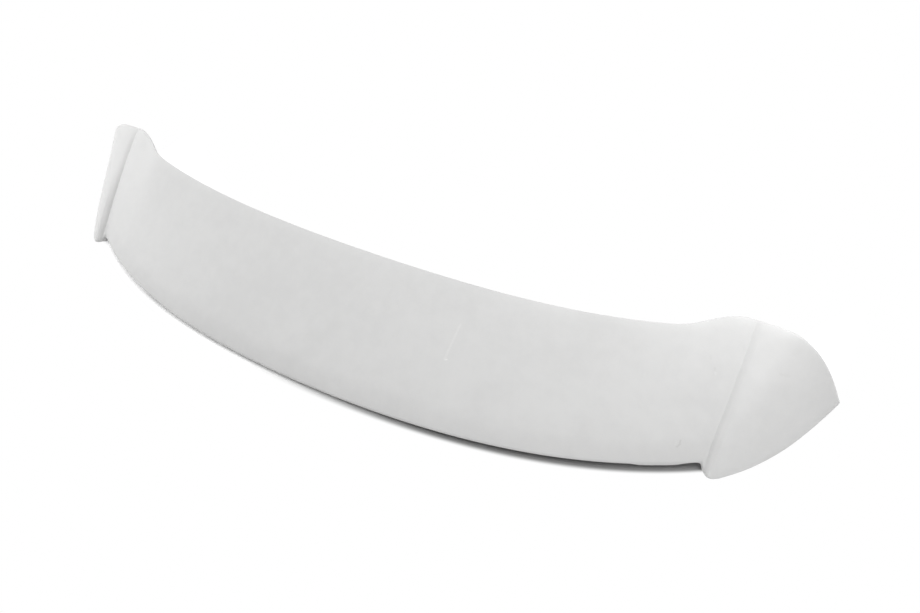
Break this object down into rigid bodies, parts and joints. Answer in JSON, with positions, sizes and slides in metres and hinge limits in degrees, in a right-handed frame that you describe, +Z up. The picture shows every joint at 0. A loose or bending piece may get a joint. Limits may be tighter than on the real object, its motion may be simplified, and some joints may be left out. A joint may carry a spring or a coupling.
{
  "type": "car roof spoiler",
  "caption": "Crescent-shaped rear roof spoiler for a hatchback, one thin hollow-backed moulding with raised rounded end cheeks and a forward-swept front edge.",
  "frame": {"origin": "middle of the box round the moulding, at the height of the lower edge it rests on", "axes": "+X across the car to its right, +Y forward along the car, +Z up"},
  "size_m": [1.145, 0.289, 0.1338],
  "materials": {
    "gelcoat": "pale grey-white moulded surface, satin, unpainted"
  },
  "bodies": {
    "root": {"spoiler": "gelcoat"}
  },
  "joints": []
}
